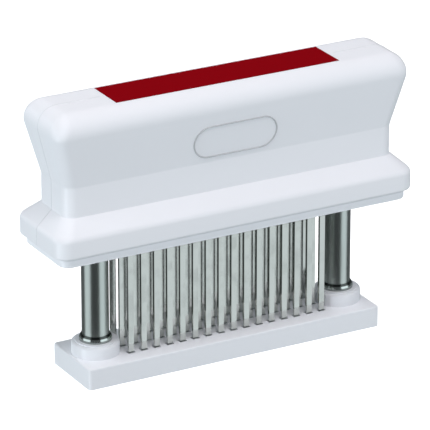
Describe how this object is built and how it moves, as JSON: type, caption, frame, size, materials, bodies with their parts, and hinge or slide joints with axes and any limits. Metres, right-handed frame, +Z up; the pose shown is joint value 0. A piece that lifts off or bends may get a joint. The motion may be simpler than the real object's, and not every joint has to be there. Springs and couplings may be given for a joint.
{
  "type": "blade meat tenderizer",
  "caption": "Hand meat tenderizer: a flared white moulded handle with rows of flat steel blades slides down two steel columns so that the blades pass through a slotted guard plate.",
  "frame": {"origin": "middle of the guard plate's underside, on the surface that the tool stands on", "axes": "+X along the handle's length, +Z up from the guard plate to the handle's crown, -Y out of the side of the handle that has the place of the emblem"},
  "size_m": [0.144, 0.035, 0.1036],
  "materials": {
    "shell_plastic": "satin moulded",
    "plate_plastic": "satin moulded",
    "cover_plastic": "satin moulded",
    "inner_plastic": "moulded",
    "label_red": "printed label",
    "column_steel": "polished tube",
    "collar_steel": "polished",
    "blade_steel": "ground strip",
    "spring_steel": "wire",
    "screw_steel": "plated"
  },
  "bodies": {
    "guard": {"lower_plate": "plate_plastic", "column_left": "column_steel", "column_right": "column_steel", "column_collar_left": "collar_steel", "column_collar_right": "collar_steel", "stop_cap_left": "inner_plastic", "stop_cap_right": "inner_plastic", "foot_plugs": "screw_steel", "foot_screws": "screw_steel", "spring_left": "spring_steel", "spring_right": "spring_steel"},
    "handle": {"handle_shell": "shell_plastic", "top_label": "label_red", "cover_plate": "cover_plastic", "cover_screws": "screw_steel", "bush_left": "inner_plastic", "bush_right": "inner_plastic", "blade_carrier_front": "inner_plastic", "blade_carrier_middle": "inner_plastic", "blade_carrier_rear": "inner_plastic", "blades_front": "blade_steel", "blades_middle": "blade_steel", "blades_rear": "blade_steel", "clamp_plate": "inner_plastic", "clamp_screws": "screw_steel", "spring_seat_left": "inner_plastic", "spring_seat_right": "inner_plastic"}
  },
  "joints": [
    {"name": "handle_press", "type": "slide", "parent": "guard", "child": "handle", "axis": [0, 0, -1], "range_m": [0, 0.032], "stiffness_N_per_m": 500, "springref_m": -0.012, "deforming": ["spring_left", "spring_right"]}
  ]
}
